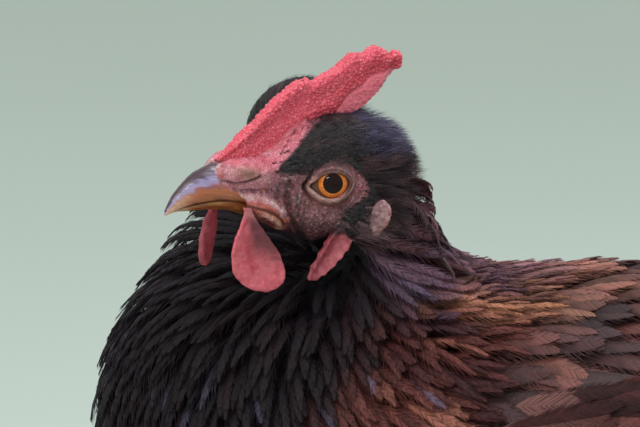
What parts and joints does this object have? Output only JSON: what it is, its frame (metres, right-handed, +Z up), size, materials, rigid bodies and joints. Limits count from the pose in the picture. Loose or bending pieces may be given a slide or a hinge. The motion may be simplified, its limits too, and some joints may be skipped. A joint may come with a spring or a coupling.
{
  "type": "hen",
  "caption": "Life-size standing hen with a single comb, wattles, folded feathered wings, a raised tail and scaled legs, its head turned to its left.",
  "frame": {"origin": "on the floor, under the middle of the box around the whole hen", "axes": "-Y is the way the body faces, +X is the hen's left side and +Z is up; millimetres in the source, metres in the row"},
  "size_m": [0.1644, 0.3609, 0.3389],
  "materials": {
    "face": "matt wrinkled skin",
    "eye": "wet and glossy",
    "horn": "smooth satin horn",
    "comb": "pebbled flesh",
    "wattle": "soft flesh",
    "lobe": "soft flesh",
    "body_plumage": "soft feathers",
    "hackle": "soft feathers with a sheen",
    "wing_plumage": "smooth feathers",
    "tail_plumage": "smooth feathers with a sheen",
    "leg": "dry overlapping scales",
    "claw": "worn horn"
  },
  "bodies": {
    "root": {"head": "face", "eye_left": "eye", "eye_right": "eye", "bill_upper": "horn", "bill_lower": "horn", "comb": "comb", "wattle_left": "wattle", "wattle_right": "wattle", "throat_fold_left": "wattle", "throat_fold_right": "wattle", "earlobe_left": "lobe", "earlobe_right": "lobe", "torso": "body_plumage", "neck": "hackle", "wing_left": "wing_plumage", "wing_right": "wing_plumage", "tail": "tail_plumage", "thigh_left": "body_plumage", "thigh_right": "body_plumage", "shank_left": "leg", "shank_right": "leg", "toe_middle_left": "leg", "toe_middle_right": "leg", "toe_inner_left": "leg", "toe_inner_right": "leg", "toe_outer_left": "leg", "toe_outer_right": "leg", "toe_back_left": "leg", "toe_back_right": "leg", "claw_middle_left": "claw", "claw_middle_right": "claw", "claw_inner_left": "claw", "claw_inner_right": "claw", "claw_outer_left": "claw", "claw_outer_right": "claw", "claw_back_left": "claw", "claw_back_right": "claw"}
  },
  "joints": []
}
